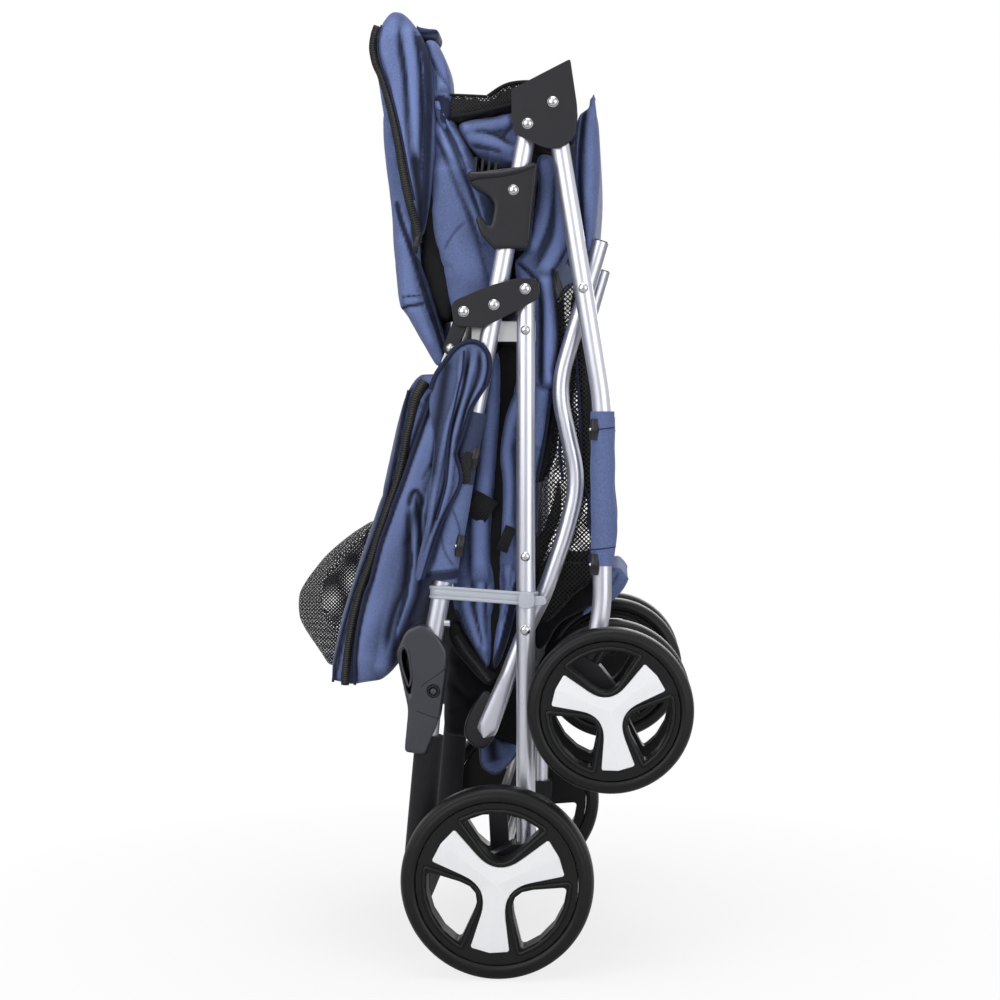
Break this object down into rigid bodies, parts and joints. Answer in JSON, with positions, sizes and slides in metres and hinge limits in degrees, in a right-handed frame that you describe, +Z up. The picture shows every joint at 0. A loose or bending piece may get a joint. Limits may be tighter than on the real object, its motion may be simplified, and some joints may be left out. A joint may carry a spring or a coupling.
{
  "type": "folding pet stroller",
  "caption": "Folding four-wheel stroller, folded upright: tube frame, twin front casters, rear wheels, padded handle, cloth cabin with hood, mesh panels and basket.",
  "frame": {"origin": "on the floor, in the middle of the folded stroller's footprint box", "axes": "+X towards the stroller's front, +Y to its left, +Z up when it stands folded on its rear wheels"},
  "size_m": [0.3791, 0.438, 0.9056],
  "materials": {
    "silver_paint": "fine metallic silver paint, satin",
    "steel": "plain zinc-plated steel",
    "black_plastic": "moulded plastic with a fine grain",
    "rubber": "EVA tyre, slightly glossy skin",
    "white_plastic": "satin moulded plastic",
    "foam": "closed-cell foam sleeve",
    "navy_cloth": "plain-weave polyester, matt",
    "black_mesh": "open knitted mesh"
  },
  "bodies": {
    "rear_frame": {"rear_leg_right": "silver_paint", "rear_leg_left": "silver_paint", "rear_foot_right": "black_plastic", "rear_foot_left": "black_plastic", "rear_axle": "steel", "rear_crossbow": "steel", "floor_pivot_shaft": "steel"},
    "parking_brake": {"brake_bar": "black_plastic"},
    "rear_wheel_right": {"rear_tyre_right": "rubber", "rear_rim_right": "black_plastic", "rear_spoke_cover_right": "white_plastic"},
    "rear_wheel_left": {"rear_tyre_left": "rubber", "rear_rim_left": "black_plastic", "rear_spoke_cover_left": "white_plastic"},
    "handle": {"handle_tube_right": "silver_paint", "handle_tube_left": "silver_paint", "link_plate_right": "black_plastic", "link_plate_left": "black_plastic", "canopy_link_right": "black_plastic", "canopy_link_left": "black_plastic", "handle_corner_right": "black_plastic", "handle_corner_left": "black_plastic", "handle_lower_tube": "silver_paint", "handle_foam_grip": "foam", "cabin_front": "navy_cloth", "hood": "navy_cloth"},
    "latch_right": {"latch_slider_right": "black_plastic"},
    "latch_left": {"latch_slider_left": "black_plastic"},
    "canopy_frame": {"canopy_arm_right": "steel", "canopy_arm_left": "steel", "rear_canopy": "navy_cloth"},
    "front_frame": {"hinge_plate_right": "black_plastic", "hinge_plate_left": "black_plastic", "front_leg_right": "silver_paint", "front_leg_left": "silver_paint", "leg_sleeve_right": "navy_cloth", "leg_sleeve_left": "navy_cloth", "caster_socket_right": "black_plastic", "caster_socket_left": "black_plastic", "front_cross_tube": "silver_paint", "front_panel": "navy_cloth"},
    "caster_right": {"caster_fork_right": "black_plastic"},
    "caster_left": {"caster_fork_left": "black_plastic"},
    "front_wheels_right": {"front_axle_right": "steel", "front_tyre_outer_right": "rubber", "front_tyre_inner_right": "rubber", "front_rim_outer_right": "black_plastic", "front_rim_inner_right": "black_plastic", "front_spoke_cover_right": "white_plastic"},
    "front_wheels_left": {"front_axle_left": "steel", "front_tyre_outer_left": "rubber", "front_tyre_inner_left": "rubber", "front_rim_outer_left": "black_plastic", "front_rim_inner_left": "black_plastic", "front_spoke_cover_left": "white_plastic"},
    "floor_frame": {"floor_tube_right": "silver_paint", "floor_tube_left": "silver_paint", "cabin_window": "black_mesh", "cabin_base": "navy_cloth", "basket": "black_mesh"}
  },
  "joints": [
    {"name": "fold", "type": "hinge", "parent": "rear_frame", "child": "handle", "pos_m": [0.0335, 0, 0.6406], "axis": [0, 1, 0], "range_deg": [0, 117.6]},
    {"name": "front_fold", "type": "hinge", "parent": "handle", "child": "front_frame", "pos_m": [0.03564, 0, 0.79419], "axis": [0, 1, 0], "range_deg": [-160.5, 0]},
    {"name": "floor_fold", "type": "hinge", "parent": "rear_frame", "child": "floor_frame", "pos_m": [0.0335, 0, 0.321], "axis": [0, 1, 0], "range_deg": [0, 49]},
    {"name": "canopy_swing", "type": "hinge", "parent": "handle", "child": "canopy_frame", "pos_m": [-0.0372, 0, 0.5859], "axis": [0, 1, 0], "range_deg": [0, 25]},
    {"name": "brake_swing", "type": "hinge", "parent": "rear_frame", "child": "parking_brake", "pos_m": [0.009, 0, 0.09], "axis": [0, 1, 0], "range_deg": [-25, 0]},
    {"name": "rear_wheel_spin_right", "type": "hinge", "parent": "rear_frame", "child": "rear_wheel_right", "pos_m": [0.009, -0.205, 0.09], "axis": [0, 1, 0], "continuous": true},
    {"name": "rear_wheel_spin_left", "type": "hinge", "parent": "rear_frame", "child": "rear_wheel_left", "pos_m": [0.009, 0.205, 0.09], "axis": [0, 1, 0], "continuous": true},
    {"name": "latch_slide_right", "type": "slide", "parent": "handle", "child": "latch_right", "axis": [-0.1838, 0, -0.983], "range_m": [0, 0.014], "stiffness_N_per_m": 600},
    {"name": "latch_slide_left", "type": "slide", "parent": "handle", "child": "latch_left", "axis": [-0.1838, 0, -0.983], "range_m": [0, 0.014], "stiffness_N_per_m": 600},
    {"name": "caster_swivel_right", "type": "hinge", "parent": "front_frame", "child": "caster_right", "pos_m": [0.09763, -0.165, 0.30347], "axis": [0.4833, 0, 0.8755], "range_deg": [-18, 18]},
    {"name": "caster_swivel_left", "type": "hinge", "parent": "front_frame", "child": "caster_left", "pos_m": [0.09763, 0.165, 0.30347], "axis": [0.4833, 0, 0.8755], "range_deg": [-18, 18]},
    {"name": "front_wheel_spin_right", "type": "hinge", "parent": "caster_right", "child": "front_wheels_right", "pos_m": [0.11359, -0.165, 0.25045], "axis": [0, 1, 0], "continuous": true},
    {"name": "front_wheel_spin_left", "type": "hinge", "parent": "caster_left", "child": "front_wheels_left", "pos_m": [0.11359, 0.165, 0.25045], "axis": [0, 1, 0], "continuous": true}
  ],
  "couplings": [
    {"joint": "front_fold", "follows": "fold", "ratio": -1.3643},
    {"joint": "floor_fold", "follows": "fold", "ratio": 0.4159}
  ]
}
